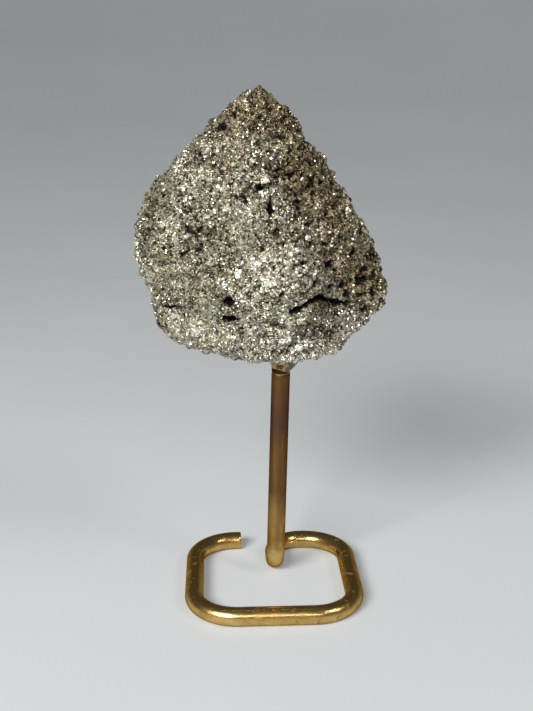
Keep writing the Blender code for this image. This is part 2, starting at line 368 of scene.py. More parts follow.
def cube_sphere(steps):
    """Unit vectors and quads of a cube's faces, evenly gridded and pushed out to a sphere.

    On each face the grid runs over tan(angle) from -45 to 45 degrees both ways, and the
    points along the cube's edges are merged.
    """
    angles = np.tan(np.linspace(-np.pi / 4, np.pi / 4, steps + 1))
    u, v = np.meshgrid(angles, angles, indexing="ij")
    one = np.ones_like(u)
    index = np.arange((steps + 1) ** 2).reshape(steps + 1, steps + 1)
    quads = np.stack([index[:-1, :-1], index[1:, :-1], index[1:, 1:], index[:-1, 1:]], axis=-1)
    quads = quads.reshape(-1, 4)
    points = []
    faces = []
    for turn in range(3):
        for side in (1.0, -1.0):
            grid = np.stack([u, v * side, one * side], axis=-1).reshape(-1, 3)
            faces.append(quads + len(points) * len(grid))
            points.append(np.roll(grid, turn, axis=1))
    points = np.concatenate(points)
    points /= np.linalg.norm(points, axis=1)[:, None]
    _, keep, merged = np.unique(
        np.round(points, 6), axis=0, return_index=True, return_inverse=True)
    return points[keep], merged.ravel()[np.concatenate(faces)]


def stone_patches(points):
    """Three slow masks from 0 to 1: where the stone is fine-grained, browned, and pale.

    The browned mask lies to the right of the ridge that runs down from the tip and grows towards
    the tip; it is partly the stone's stain and partly painted shade on the side that faces away
    from the light. The pale mask is partly a random paler tone and partly painted light: lit
    patches on the front, and lighter towards the bottom, where the floor's light is painted.
    Each placed patch fades as exp(-distance ** 2) in radii.
    """
    x, _, z = points.T
    fine = 0.42 + 0.8 * lattice_noise(points / 11.0, 51) + 0.5 * lattice_noise(points / 4.5, 52)
    for patch_x, patch_z, across, up, strength in FINE_PATCHES:
        fine += strength * np.exp(-(((x - patch_x) / across) ** 2 + ((z - patch_z) / up) ** 2))
    fine -= 0.6 * np.clip((93.0 - z) / 8.0, 0.0, 1.0)
    ridge = np.interp(z, RIDGE[0], RIDGE[1])
    # Painted shade: right of the ridge the tint is browned, partly the stone's stain and partly
    # the shade of the side that faces away from the light.
    brown = 0.05 + 0.75 * np.clip((x - ridge) / 5.0 + 0.3, 0.0, 1.0)
    brown += np.clip((z - 147.0) / 10.0, 0.0, 0.7) + 0.55 * lattice_noise(points / 8.0, 53)
    pale = 0.1 + 0.5 * lattice_noise(points / 6.0, 54) + 0.4 * lattice_noise(points / 2.5, 55)
    # Painted light: paler towards the bottom, where the light from the floor is painted.
    pale += 0.5 * np.clip((97.0 - z) / 10.0, 0.0, 1.0)
    # Painted light: the placed patches lighten lit spots on the front.
    for patch_x, patch_z, radius in PAINTED_LIGHT_PATCHES:
        pale += 0.8 * np.exp(-((x - patch_x) ** 2 + (z - patch_z) ** 2) / radius ** 2)
    return tuple(np.clip(mask, 0.0, 1.0) for mask in (fine, brown, pale))


def build_body(settings):
    """The massive part: the outer shape, roughened along its normals by three sizes of grain.

    The shape is drawn in by the depth that the crystals on it stand proud. Some grains of the
    larger sizes are missing, which leaves pits.
    """
    ways, faces = cube_sphere(BODY_STEPS)
    smooth = stone_place(ways * (stone_radius(ways) - settings.skin)[:, None])
    body = surface("pyrite_mass", smooth, faces, smooth=True)
    normals = read_points(body.data.vertex_normals, "vector")
    fine, brown, pale = stone_patches(smooth)
    rough = settings.roughness * (1.25 - 0.7 * fine)
    knobs, _, _ = grain_height(smooth, settings.grain, KNOB_GRAIN)
    coarse, own_coarse, _ = grain_height(smooth, settings.grain, COARSE_GRAIN)
    small, own_small, middles = grain_height(smooth, settings.grain, SMALL_GRAIN)
    spongy = brown ** 2 * (1.0 - 0.6 * fine)
    holes = 1.3 * (own_small < 0.01 + 0.22 * spongy) + 1.5 * (own_coarse < 0.11 * spongy)
    depth = vug_depth(0.6 * middles + 0.4 * smooth) + holes
    depth += np.clip(2.0 * brown, 0.0, 1.0) * cracks(0.5 * middles + 0.5 * smooth)
    relief = 0.7 * knobs + coarse + small
    height = rough * relief - depth
    points = smooth + normals * height[:, None]
    body.data.vertices.foreach_set("co", in_metres(points))
    body.data.update()
    # 'sunk' is how deep each point is cut; the mass paints near-black shade by it.
    attribute(body, "sunk", np.clip(depth / 2.0, 0.0, 1.0))
    # Painted shade: 'low' grows where the grain relief sinks, and darkens the mass's colour there.
    attribute(body, "low", np.clip(0.4 - 0.9 * relief * rough, 0.0, 1.0))
    attribute(body, "fine", fine)
    # The browned mask is partly stain and partly painted shade; the pale mask is partly paler tone
    # and partly painted light.
    attribute(body, "brown", brown)
    attribute(body, "pale", pale)
    return body


# ---------------------------------------------------------------- crystals
def convex_faces(corners, normals):
    """For each normal, the corners furthest along it, in order round the face."""
    faces = []
    for normal in normals:
        reach = corners @ normal
        ring = np.flatnonzero(reach > reach.max() - 1e-6)
        middle = corners[ring].mean(axis=0)
        across = corners[ring[0]] - middle
        up = np.cross(normal, across)
        flat = corners[ring] - middle
        scale = np.linalg.norm(up) / np.linalg.norm(across)
        faces.append(ring[np.argsort(np.arctan2(flat @ up / scale, flat @ across))])
    return np.array(faces)


def cube():
    """A cube of edge 2: all signs of (1, 1, 1)."""
    corners = np.array(list(np.ndindex(2, 2, 2))) * 2.0 - 1.0
    return corners, convex_faces(corners, np.vstack([np.eye(3), -np.eye(3)]))


def octahedron():
    """Six corners on the axes, and eight faces."""
    corners = np.vstack([np.eye(3), -np.eye(3)]) * 1.3
    return corners, convex_faces(corners, cube()[0])


def pyritohedron():
    """Pyrite's own twelve-sided form: the cube's corners and a roof ridge on each face."""
    signs = np.array(list(np.ndindex(2, 2))) * 2.0 - 1.0
    ridge = np.column_stack([np.zeros(4), signs[:, 0] * 1.5, signs[:, 1] * 0.75])
    tilt = np.column_stack([signs[:, 0], signs[:, 1] * 2.0, np.zeros(4)])
    corners = np.vstack([cube()[0]] + [np.roll(ridge, turn, axis=1) for turn in range(3)])
    normals = np.vstack([np.roll(tilt, turn, axis=1) for turn in range(3)])
    return corners * 0.8, convex_faces(corners, normals)


def random_turns(count, random):
    """Rotation matrices from unit quaternions drawn evenly over all turns."""
    w, x, y, z = (lambda q: (q / np.linalg.norm(q, axis=0)))(random.normal(size=(4, count)))
    rows = [
        [1 - 2 * (y * y + z * z), 2 * (x * y - z * w), 2 * (x * z + y * w)],
        [2 * (x * y + z * w), 1 - 2 * (x * x + z * z), 2 * (y * z - x * w)],
        [2 * (x * z - y * w), 2 * (y * z + x * w), 1 - 2 * (x * x + y * y)],
    ]
    return np.moveaxis(np.array(rows), 2, 0)


def scatter(name, form, body, count, low, high, in_fine, darkest, seed):
    """Crystals half sunk in the stone's skin, each with its own size, turn and tone.

    They fall on faces in proportion to area, more or less thickly where it is fine-grained,
    and seldom in a pit. Their sizes are low * (high / low) ** share ** 1.6, with share drawn
    evenly from 0 to 1, so most are small.
    """
    random = np.random.default_rng(seed)
    polygons = body.data.polygons
    middles = read_points(polygons, "center") / MM - BASE_CENTRE
    normals = read_points(polygons, "normal")
    areas = np.empty(len(polygons), dtype=np.float32)
    polygons.foreach_get("area", areas)
    corners_of = np.empty(len(polygons) * 4, dtype=np.int32)
    polygons.foreach_get("vertices", corners_of)
    sunk = np.empty(len(body.data.vertices), dtype=np.float32)
    body.data.attributes["sunk"].data.foreach_get("value", sunk)
    sunk = sunk[corners_of].reshape(-1, 4).mean(axis=1)
    fine, brown, pale = stone_patches(middles)
    apart = np.linalg.norm((middles - post_axis(middles[:, 2]))[:, :2], axis=1)
    clear = (apart > PUTTY_REACH) | (middles[:, 2] > STONE_CENTRE[2])
    chance = areas * clear * (1.0 - fine + in_fine * fine) * np.clip(1.2 - 2.0 * sunk, 0.0, 1.0)
    chosen = random.choice(len(areas), size=count, replace=False, p=chance / chance.sum())
    half = 0.5 * low * (high / low) ** random.uniform(0.0, 1.0, count) ** 1.6
    stretch = half[:, None] * random.uniform(0.65, 1.35, (count, 3))
    lift = half * random.uniform(-1.1, -0.1, count)
    centres = middles[chosen] + normals[chosen] * lift[:, None]
    corners, faces = form
    shaped = corners[None] * stretch[:, None]
    points = np.einsum("nij,nkj->nki", random_turns(count, random), shaped) + centres[:, None]
    joined = faces[None] + np.arange(count)[:, None, None] * len(corners)
    made = surface(name, points.reshape(-1, 3), joined.reshape(-1, faces.shape[1]))
    sides = len(faces)
    attribute(made, "tone", np.repeat(random.uniform(darkest, 1.0, count), sides), "FACE")
    # Painted reflection: each face's random number also lightens or darkens its colour.
    attribute(made, "polish", random.uniform(0.0, 1.0, count * sides), "FACE")
    attribute(made, "brown", np.repeat(brown[chosen], sides), "FACE")
    attribute(made, "fine", np.repeat(fine[chosen], sides), "FACE")
    attribute(made, "pale", np.repeat(pale[chosen], sides), "FACE")
    return made


# ---------------------------------------------------------------- shader helpers
class Value:
    """A number socket that adds Math nodes when it is used in an expression."""

    def __init__(self, finish, socket):
        self.finish = finish
        self.socket = socket

    def math(self, operation, left, right=None):
        inputs = {0: left} if right is None else {0: left, 1: right}
        node = self.finish.node("ShaderNodeMath", {"operation": operation}, inputs)
        return Value(self.finish, node.outputs[0])

    def __add__(self, other):
        return self.math("ADD", self, other)

    __radd__ = __add__

    def __sub__(self, other):
        return self.math("SUBTRACT", self, other)

    def __rsub__(self, other):
        return self.math("SUBTRACT", other, self)

    def __mul__(self, other):
        return self.math("MULTIPLY", self, other)

    __rmul__ = __mul__

    def __truediv__(self, other):
        return self.math("DIVIDE", self, other)

    def above(self, edge, width):
        """0 below edge, 1 above edge + width, with a straight ramp between."""
        ramp = (self - edge) / width
        return self.math("MINIMUM", self.math("MAXIMUM", ramp, 0.0), 1.0)


class Finish:
    """A material and the one way its nodes are made."""

    def __init__(self, name):
        self.material = bpy.data.materials.new(name)
        self.material.use_nodes = True
        self.tree = self.material.node_tree
        self.shader = self.tree.nodes["Principled BSDF"]

    def node(self, kind, settings=None, inputs=None):
        made = self.tree.nodes.new(kind)
        for name, value in (settings or {}).items():
            if name == "stops":
                self.set_stops(made.color_ramp, value)
            else:
                setattr(made, name, value)
        for name, value in (inputs or {}).items():
            self.plug(made.inputs[name], value)
        return made

    def plug(self, socket, value):
        if isinstance(value, Value):
            value = value.socket
        if isinstance(value, bpy.types.NodeSocket):
            self.tree.links.new(value, socket)
        else:
            socket.default_value = value

    def set_stops(self, ramp, stops):
        while len(ramp.elements) < len(stops):
            ramp.elements.new(0.5)
        for element, (place, colour) in zip(ramp.elements, stops):
            element.position = place
            element.color = (*colour, 1.0)

    def own(self, name):
        """The piece's own attribute."""
        node = self.node("ShaderNodeAttribute", {"attribute_name": name})
        return Value(self, node.outputs["Fac"])

    def place(self):
        return self.node("ShaderNodeTexCoord").outputs["Object"]

    def noise(self, scale, detail=3.0, rough=0.55, vector=None):
        inputs = {"Vector": vector or self.place(), "Scale": scale, "Detail": detail,
                  "Roughness": rough}
        return Value(self, self.node("ShaderNodeTexNoise", None, inputs).outputs["Fac"])

    def facets(self, scale, steep):
        """Flat tilted cells: a plane through each cell's own middle, tilted at random.

        Gives the height in metres and a random number for each cell.
        """
        place = self.place()
        inputs = {"Vector": place, "Scale": scale}
        cells = self.node("ShaderNodeTexVoronoi", {"feature": "F1"}, inputs).outputs
        offset = self.vector("SUBTRACT", place, cells["Position"])
        tilt = self.vector("SUBTRACT", cells["Color"], (0.5, 0.5, 0.5))
        height = self.node(
            "ShaderNodeVectorMath", {"operation": "DOT_PRODUCT"}, {0: offset, 1: tilt})
        own = self.node("ShaderNodeSeparateXYZ", None, {0: cells["Color"]}).outputs["X"]
        return Value(self, height.outputs["Value"]) * (2.0 * steep), Value(self, own)

    def stain(self, settings):
        """What the metal's colour is multiplied by: duller where fine-grained, browned where
        stained and in painted shade.
        """
        dulled = self.mix(self.own("fine"), (1.0, 1.0, 1.0, 1.0), colour(settings.dull_colour))
        return self.mix(self.own("brown"), dulled, colour(settings.stain_and_shade_colour))

    def vector(self, operation, left, right):
        node = self.node("ShaderNodeVectorMath", {"operation": operation}, {0: left, 1: right})
        return node.outputs["Vector"]

    def mix(self, share, first, second):
        """Colour first where share is 0 and second where it is 1."""
        inputs = {"Factor": share, 6: first, 7: second}
        return self.node("ShaderNodeMix", {"data_type": "RGBA"}, inputs).outputs[2]

    def bump(self, height, strength, distance, below=None):
        inputs = {"Height": height, "Strength": strength, "Distance": distance}
        if below is not None:
            inputs["Normal"] = below
        return self.node("ShaderNodeBump", None, inputs).outputs["Normal"]

    def finish(self, **sockets):
        for name, value in sockets.items():
            self.plug(self.shader.inputs[name.replace("_", " ")], value)
        return self.material


def colour(value):
    """A setting's or constant's three numbers with the opacity that a colour socket needs."""
    return (*value[:3], 1.0)


def mass_finish(settings):
    """Massive pyrite: glittering flat grains of two sizes; a browner tint that is partly stain and
    partly painted shade on the side away from the light; painted shade, near black, in the
    hollows; painted shade where the relief is low, and painted light on the pale parts.
    """
    made = Finish("pyrite mass")
    sunk = made.own("sunk")
    fine = made.own("fine")
    wide, own_wide = made.facets(1300.0, 0.8)
    narrow, own_narrow = made.facets(3000.0, 0.8)
    # Painted shade and painted light: the tone is darkened where the relief is low and lightened
    # on the pale parts.
    tone = own_wide * 0.45 + own_narrow * 0.55 - made.own("low") * 0.45 + made.own("pale") * 0.15
    toned = made.mix(
        tone.above(0.0, 0.4), colour(settings.deep_colour), colour(settings.metal_colour))
    paled = made.mix(tone.above(0.4, 0.4), toned, colour(settings.bright_colour))
    stained = made.vector("MULTIPLY", paled, made.stain(settings))
    # Painted shade: the deeper a point is cut, the nearer its colour goes to near black and the
    # less metallic it is.
    dark = made.mix(sunk.above(0.3, 0.4), stained, colour(HOLLOW_SHADE_COLOUR))
    grain = made.bump(narrow, 1.0, 1.0, made.bump(wide, 1.0, 1.0))
    return made.finish(Base_Color=dark, Metallic=0.95 - sunk * 0.9,
                       Roughness=0.26 + own_narrow * 0.3 + fine * 0.1, Normal=grain)


def crystal_finish(settings):
    """Bright pyrite crystals: each has its own tone, and each face its own smoothness and a
    painted reflection that makes it lighter or darker.
    """
    made = Finish("pyrite crystal")
    polish = made.own("polish")
    chip, _ = made.facets(2300.0, 0.5)
    # Painted reflection: half of each face's tone is its own random number, as if it reflected
    # light or dark surroundings; the pale mask adds painted light.
    tone = made.own("tone") * 0.5 + polish * 0.5 + made.own("pale") * 0.15
    deep = made.mix(
        tone.above(0.26, 0.3), colour(settings.deep_colour), colour(settings.metal_colour))
    fresh = made.mix(tone.above(0.58, 0.3), deep, colour(settings.bright_colour))
    stained = made.vector("MULTIPLY", fresh, made.stain(settings))
    return made.finish(Base_Color=stained, Metallic=1.0, Roughness=0.56 - polish * 0.34,
                       Normal=made.bump(chip, 1.0, 1.0))


def rod_finish(settings):
    """Brass once polished: browned up the post, partly tarnish and partly a painted reflection of
    the stone's darker underside, with a plum band and painted sheen in vertical stripes; a painted
    highlight below the scribed line and painted shade above it; spotted and scratched on the loop.
    """
    made = Finish("tarnished brass")
    z = Value(made, made.node("ShaderNodeSeparateXYZ", None, {0: made.place()}).outputs["Z"])
    cloud = made.noise(90.0, 4.0)
    grime = made.noise(170.0, 5.0, 0.65)
    spots = made.noise(420.0, 2.0)
    height = z + (cloud - 0.5) * 0.02
    # Painted reflection: the post browns upwards, partly tarnish and partly the stone's darker
    # underside reflected in it.
    tarnish_and_reflection = height.above(0.008, 0.024)
    # Painted sheen: lighter vertical stripes over the browned post stand in for its light and
    # shade; on the loop they only dull the brass a little.
    sheen_streaks = made.noise(900.0, 3.0, 0.6, made.vector("MULTIPLY", made.place(), (1.0, 1.0, 0.06)))
    # Painted reflection: a plum band on the post, partly tarnish and partly the stone's darker
    # underside reflected.
    plum = height.above(0.044, 0.008) * (1.0 - height.above(0.060, 0.010))
    # Painted highlight: a thin band of clean brass just below the scribed line, for the light its
    # edge catches.
    line = z.above(settings.ring_height - 0.0003, 0.0001)
    line = line * (1.0 - z.above(settings.ring_height, 0.0001))
    # Painted shade: dark colour on the post from just above the scribed line up into the putty.
    shaded_neck = z.above(settings.ring_height + 0.0001, 0.0002)
    stain = spots.above(0.62, 0.08) * cloud.above(0.42, 0.2)
    dull = grime.above(0.3, 0.5)
    clean = made.mix(dull, colour(settings.brass_colour), colour(settings.worn_colour))
    browned = made.mix(tarnish_and_reflection * 0.9, clean, colour(settings.browned_and_reflection_colour))
    # Painted sheen: the vertical stripes mix lighter brass into the browned post.
    streaked = made.mix(sheen_streaks.above(0.54, 0.2) * 0.35, browned, colour(settings.worn_colour))
    tarnished = made.mix(plum * 0.75, streaked, colour(settings.plum_tarnish_and_reflection_colour))
    neck_shaded = made.mix(shaded_neck * 0.8, tarnished, colour(GRIME_AND_SHADE_COLOUR))
    highlight_lined = made.mix(line * 0.45, neck_shaded, colour(settings.brass_colour))
    spotted = made.mix(stain * 0.8, highlight_lined, colour(GRIME_AND_SHADE_COLOUR))
    marks = made.bump(made.noise(1500.0, 3.0), 0.2, 0.0002)
    made.plug(made.shader.inputs["Specular Tint"], colour(ROD_EDGE_TINT))
    return made.finish(Base_Color=spotted, Metallic=1.0 - stain * 0.6,
                       Roughness=0.20 + dull * 0.16 + stain * 0.3 + tarnish_and_reflection * 0.2, Normal=marks)


def bond_finish(settings):
    """Cured putty: grey and mottled to the right, with rubbed brass colour to the left."""
    made = Finish("epoxy putty")
    x = Value(made, made.node("ShaderNodeSeparateXYZ", None, {0: made.place()}).outputs["X"])
    mottle = made.noise(700.0, 4.0)
    smear = 1.0 - (x + (mottle - 0.5) * 0.006).above(settings.smear_edge, 0.0012)
    rubbed = smear * made.noise(420.0, 4.0).above(0.44, 0.1)
    base = made.mix(
        mottle.above(0.35, 0.3), colour(settings.putty_colour), colour(PUTTY_DARK_COLOUR))
    browned = made.mix(smear * 0.8, base, colour(PUTTY_BROWN_COLOUR))
    tinted = made.mix(rubbed * 0.9, browned, colour(settings.smear_colour))
    return made.finish(Base_Color=tinted, Roughness=0.38 + mottle * 0.2, Metallic=smear * 0.8,
                       Normal=made.bump(mottle, 0.8, 0.0008))


def floor_finish(settings):
    """A pale table top with a soft sheen and the faintest cloudiness."""
    made = Finish("pale table top")
    cloud = made.noise(6.0, 3.0)
    shade = made.mix(
        cloud.above(0.3, 0.4), colour(settings.floor_colour), colour(settings.cloud_colour))
    made.plug(made.shader.inputs["Emission Strength"], settings.floor_glow)
    made.plug(made.shader.inputs["Specular IOR Level"], 0.07)
    return made.finish(Base_Color=shade, Roughness=0.3 + cloud * 0.06, Emission_Color=shade)


# ---------------------------------------------------------------- rod and bond
def post_axis(height):
    """Centre of the leaning post at each height."""
    height = np.asarray(height, dtype=float)
    x = POST_FOOT[0] + (height - POST_FOOT_LEVEL) * np.tan(POST_LEAN)
    return np.stack([x, np.full_like(x, POST_FOOT[1]), height], axis=-1)


def round_corners(corners, radii, steps):
    """Replace each inner corner of an open path with an arc of its own radius."""
    path = [corners[0][None]]
    for before, corner, after, radius in zip(corners, corners[1:], corners[2:], radii):
        back = (before - corner) / np.linalg.norm(before - corner)
        ahead = (after - corner) / np.linalg.norm(after - corner)
        half = np.arccos(back @ ahead) / 2
        middle = back + ahead
        centre = corner + middle / np.linalg.norm(middle) * radius / np.sin(half)
        start = (corner + back * radius / np.tan(half) - centre) / radius
        sweep = np.linspace(0.0, np.pi - 2 * half, steps)[:, None]
        path.append(centre + radius * (np.cos(sweep) * start - np.sin(sweep) * back))
    path.append(corners[-1][None])
    return np.concatenate(path)


def spread_evenly(path, spacing):
    """Points on the same line, no further apart than the spacing."""
    out = [path[:1]]
    for start, end in zip(path, path[1:]):
        pieces = max(1, int(np.ceil(np.linalg.norm(end - start) / spacing)))
        share = np.arange(1, pieces + 1)[:, None] / pieces
        out.append(start + share * (end - start))
    return np.concatenate(out)


def tube(path, radii, sides):
    """Rings square to the path, carried along it without twisting; the ends are left open.

    Each ring's first axis is the last ring's, with its part along the new heading removed.
    """
    heading = np.gradient(path, axis=0)
    heading /= np.linalg.norm(heading, axis=1)[:, None]
    across = np.empty_like(path)
    last = np.array((0.0, 0.0, 1.0))
    for index, way in enumerate(heading):
        last = last - way * (last @ way)
        last /= np.linalg.norm(last)
        across[index] = last
    other = np.cross(heading, across)
    angle = np.linspace(0.0, 2 * np.pi, sides, endpoint=False)[None, :, None]
    rings = path[:, None] + radii[:, None, None] * (
        np.cos(angle) * across[:, None] + np.sin(angle) * other[:, None])
    index = np.arange(len(path) * sides).reshape(len(path), sides)
    around = np.roll(index, -1, axis=1)
    quads = np.stack([index[:-1], around[:-1], around[1:], index[1:]], axis=-1).reshape(-1, 4)
    return rings.reshape(-1, 3), quads


def build_rod(settings):
    """One rod: the open loop on the floor, the bend inwards and up, and the leaning post.

    The underside of the loop is pressed flat on the floor, and a line is scribed round the post.
    """
    radius = settings.diameter / MM / 2
    side = (ROD_HIGH[0] - ROD_LOW[0]) / 2 - radius
    level = radius - settings.flat / MM
    corner = settings.corner / MM
    top = ROD_HIGH[2] - 0.1
    foot = post_axis(level)
    corners = [np.array(place, dtype=float) for place in (
        (LOOP_END, side, level), (-side, side, level), (-side, -side, level),
        (side, -side, level), (side, side, level), (POST_FOOT[0], side, level), foot,
        post_axis(top))]
    bends = [corner] * 4 + [LINK_BEND, POST_BEND]
    path = spread_evenly(round_corners(corners, bends, 28), 1.2)
    ring = settings.ring_height / MM
    low = path[path[:, 2] < ring - 1.5]
    heights = ring + np.array((-1.2, -0.45, -0.35, -0.2, 0.2, 0.35, 0.45, 1.2))
    high = post_axis(np.append(heights, np.linspace(ring + 2.0, top, 10)))
    path = np.concatenate([low, high])
    scribe = np.array((1.0, 1.0, 0.985, 0.94, 0.94, 0.985, 1.0, 1.0))
    share = np.concatenate([np.ones(len(low)), scribe, np.ones(10)])
    radii = radius * share
    start_cut = path[0] + (path[1] - path[0]) * np.array((0.0, 0.02, 0.3))[:, None]
    path = np.concatenate([start_cut, path[1:]])
    radii = np.concatenate([radius * np.array((0.02, 0.93, 1.0)), radii[1:]])
    points, quads = tube(path, radii, 48)
    points[:, 2] = np.maximum(points[:, 2], 0.0)
    return surface("bent_brass_rod_skin", points, quads, smooth=True)


def build_bond(settings):
    """A putty bead round the post: its radius swells upwards, and more to the right.

    radius = rod + swell(height) * (1 + lean towards the right) + small uneven waves, and its
    lower edge hangs lower on the right.
    """
    heights = np.linspace(0.0, 1.0, 40)
    angles = np.linspace(0.0, 2 * np.pi, 96, endpoint=False)
    h, a = np.meshgrid(heights, angles, indexing="ij")
    right = np.cos(a + 0.3)
    low = BOND_LOW[2] - 0.1 - settings.hang / MM * right + 0.25 * np.sin(3 * a + 1.0)
    swell = settings.bead / MM * np.clip(h * 1.6, 0.0, 1.0) ** 1.1 * (1.0 + 0.75 * right)
    z = low + h * (PUTTY_TOP - low)
    centre = post_axis(z.ravel())
    flat = np.stack([np.cos(a), np.sin(a), h * 3.0], axis=-1).reshape(-1, 3)
    waves = 0.35 * lattice_noise(flat * 3.0, 71) + 0.22 * lattice_noise(flat * 8.0, 72)
    radius = PUTTY_RADIUS + swell.ravel() + waves * np.clip(h.ravel() * 4.0, 0.0, 1.0)
    out = np.stack([np.cos(a), np.sin(a), np.zeros_like(a)], axis=-1).reshape(-1, 3)
    points = centre + out * np.maximum(radius, PUTTY_LEAST_RADIUS)[:, None]
    index = np.arange(h.size).reshape(h.shape)
    around = np.roll(index, -1, axis=1)
    quads = np.stack([index[:-1], around[:-1], around[1:], index[1:]], axis=-1).reshape(-1, 4)
    return surface("putty_bead", points, quads, smooth=True)


# ---------------------------------------------------------------- settings
def size(label, default, text):
    return FloatProperty(name=label, description=text, default=default, unit="LENGTH", precision=4)


def paint(label, default, text):
    return FloatVectorProperty(name=label, description=text, default=default, subtype="COLOR",
                               size=3, min=0.0, max=1.0)


class StoneSettings(bpy.types.PropertyGroup):
    grain: FloatProperty(name="Grain", description="What grain widths scale, mm", default=1.3)
    roughness: FloatProperty(name="Roughness", description="Scale of the relief", default=0.6)
    skin: FloatProperty(name="Skin", description="How far crystals stand proud in mm", default=0.5)
    coarse_count: IntProperty(name="Coarse", description="Coarse cubes", default=600)
    medium_count: IntProperty(name="Medium", description="Middle-sized cubes", default=7000)
    form_count: IntProperty(name="Twelve-sided", description="Twelve-sided crystals", default=4000)
    shard_count: IntProperty(name="Eight-sided", description="Eight-sided crystals", default=22000)
    small_count: IntProperty(name="Small", description="Small cubes", default=16000)
    metal_colour: paint("Metal", (0.50, 0.46, 0.345), "Broken pyrite")
    bright_colour: paint("Bright", (0.95, 0.93, 0.86), "Fresh crystal faces")
    deep_colour: paint("Deep", (0.03, 0.024, 0.012), "The darkest crystals")
    dull_colour: paint("Dull", (0.84, 0.87, 0.83), "Tint of fine-grained parts")
    # Painted shade: this tint also darkens the side of the stone away from the light.
    stain_and_shade_colour: paint("Stain", (0.58, 0.51, 0.39), "Tint of brown stained parts")


class StandSettings(bpy.types.PropertyGroup):
    diameter: size("Rod", 0.006, "Diameter of the rod")
    flat: size("Flat", 0.00024, "Depth of the flat under the loop")
    corner: size("Corner", 0.014, "Radius of the loop's corners, on the rod's centre line")
    ring_height: size("Scribed line", 0.0726, "Height of the line scribed round the post")
    bead: size("Putty", 0.0022, "How far the putty stands out from the post")
    hang: size("Hang", 0.0007, "How much lower the putty hangs on the right")
    smear_edge: size("Smear edge", 0.0072, "Where the rubbed brass colour ends on the putty")
    brass_colour: paint("Brass", (0.75, 0.52, 0.19), "Clean brass")
    worn_colour: paint("Worn brass", (0.42, 0.235, 0.07), "Brass with a light tarnish")
    # Painted reflection: also stands for the stone's darker underside seen in the post.
    browned_and_reflection_colour: paint("Browned brass", (0.12, 0.051, 0.018), "Brass browned with age")
    # Painted reflection: the plum also stands for the stone's darker underside seen in the post.
    plum_tarnish_and_reflection_colour: paint("Tarnish", (0.095, 0.048, 0.038), "Plum tarnish on the post")
    putty_colour: paint("Putty colour", (0.22, 0.21, 0.16), "Cured epoxy putty")
    smear_colour: paint("Smear", (0.62, 0.42, 0.19), "Brass colour rubbed into the putty")


class StudioSettings(bpy.types.PropertyGroup):
    floor_colour: paint("Floor", (0.43, 0.45, 0.465), "The pale table top")
    cloud_colour: paint("Floor clouds", (0.41, 0.43, 0.445), "Slightly darker clouds in it")
    floor_glow: FloatProperty(name="Floor glow", description="The table top's own light",
                              default=0.34)
    key_power: FloatProperty(name="Window", description="Watts", default=9.8)
    strip_power: FloatProperty(name="Strip light", description="Watts", default=0.7)
    side_power: FloatProperty(name="Side light", description="Watts", default=0.6)
    room: FloatProperty(name="Room light", description="Strength of the even light", default=0.08)


# ---------------------------------------------------------------- operators
def settle(piece, slot, finish, *nodes):
    """Give a finished piece its material and its place in the frame."""
    piece.data.materials.append(finish)
    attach(piece, BODY)
    if nodes:
        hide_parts(*nodes)


class PYRITE_OT_mass(bpy.types.Operator):
    """Build the stone's massive, grainy and pitted body"""
    bl_idname = "pyrite.mass"
    bl_label = "Stone's mass"

    def execute(self, context):
        settings = context.scene.pyrite_stone
        settle(build_body(settings), "pyrite", mass_finish(settings), "pyrite_stone")
        return {"FINISHED"}


class PYRITE_OT_crystals(bpy.types.Operator):
    """Scatter the crystals that cover the stone's mass"""
    bl_idname = "pyrite.crystals"
    bl_label = "Stone's crystals"

    def execute(self, context):
        settings = context.scene.pyrite_stone
        body = bpy.data.objects["pyrite_mass"]
        finish = crystal_finish(settings)
        # Name, shape, count, least and greatest size in mm, share in fine parts, least tone, seed.
        forms = (
            ("coarse_cubes", cube(), settings.coarse_count, 1.0, 1.9, 0.1, 0.7, 101),
            ("middle_cubes", cube(), settings.medium_count, 0.5, 1.0, 0.3, 0.0, 102),
            ("twelve_sided_crystals", pyritohedron(), settings.form_count, 0.6, 1.3, 0.15, 0.2,
             103),
            ("eight_sided_crystals", octahedron(), settings.shard_count, 0.4, 0.95, 0.3, 0.0, 104),
            ("small_cubes", cube(), settings.small_count, 0.28, 0.55, 1.0, 0.0, 105),
        )
        for name, form, count, low, high, in_fine, darkest, seed in forms:
            crystals = scatter(name, form, body, count, low, high, in_fine, darkest, seed)
            settle(crystals, "pyrite", finish)
        return {"FINISHED"}


class PYRITE_OT_rod(bpy.types.Operator):
    """Build the brass rod, bent into the base loop and the post"""
    bl_idname = "pyrite.rod"
    bl_label = "Brass rod"

    def execute(self, context):
        settings = context.scene.pyrite_stand
        settle(build_rod(settings), "brass_rod", rod_finish(settings), "bent_brass_rod")
        return {"FINISHED"}


class PYRITE_OT_putty(bpy.types.Operator):
    """Build the putty that bonds the post to the stone"""
    bl_idname = "pyrite.putty"
    bl_label = "Putty"

    def execute(self, context):
        settings = context.scene.pyrite_stand
        settle(build_bond(settings), "epoxy", bond_finish(settings), "epoxy_bond")
        return {"FINISHED"}


class PYRITE_OT_studio(bpy.types.Operator):
    """Lay the pale table top and set the soft lights and the camera"""
    bl_idname = "pyrite.studio"
    bl_label = "Studio"

    def execute(self, context):
        settings = context.scene.pyrite_studio
        build_floor(settings)
        build_lights(settings)
        build_camera()
        return {"FINISHED"}


